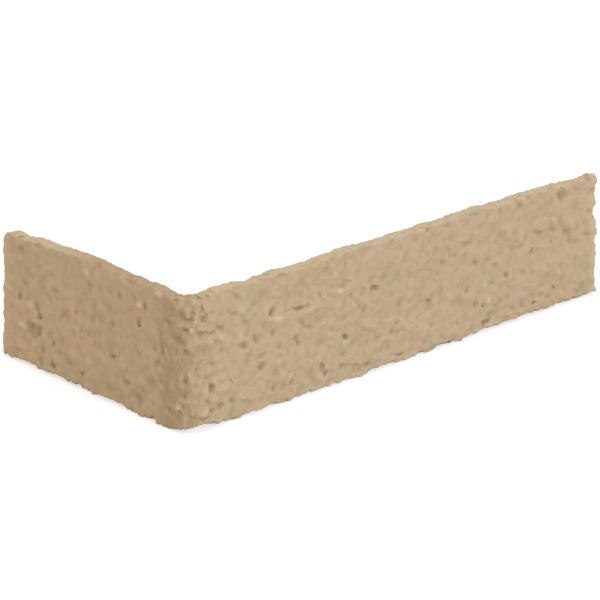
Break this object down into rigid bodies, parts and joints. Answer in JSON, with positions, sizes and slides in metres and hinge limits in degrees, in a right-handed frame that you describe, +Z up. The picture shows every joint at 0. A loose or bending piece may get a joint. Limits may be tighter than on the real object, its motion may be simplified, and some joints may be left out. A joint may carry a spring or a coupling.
{
  "type": "corner brick slip",
  "caption": "Thin L-shaped fired-clay corner brick slip with a creased, pitted sand-coloured face, worn arrises and flat bonding faces behind.",
  "frame": {"origin": "middle of the footprint of the whole L, at the height of the bed it stands on", "axes": "+X along the long leg, from the outside corner to its end; +Y along the short leg, from the outside corner to its end; +Z up the face, from bed to top"},
  "size_m": [0.211, 0.103, 0.05],
  "materials": {
    "fired_clay": "unglazed matt, sandy and pitted"
  },
  "bodies": {
    "root": {"corner_slip": "fired_clay"}
  },
  "joints": []
}
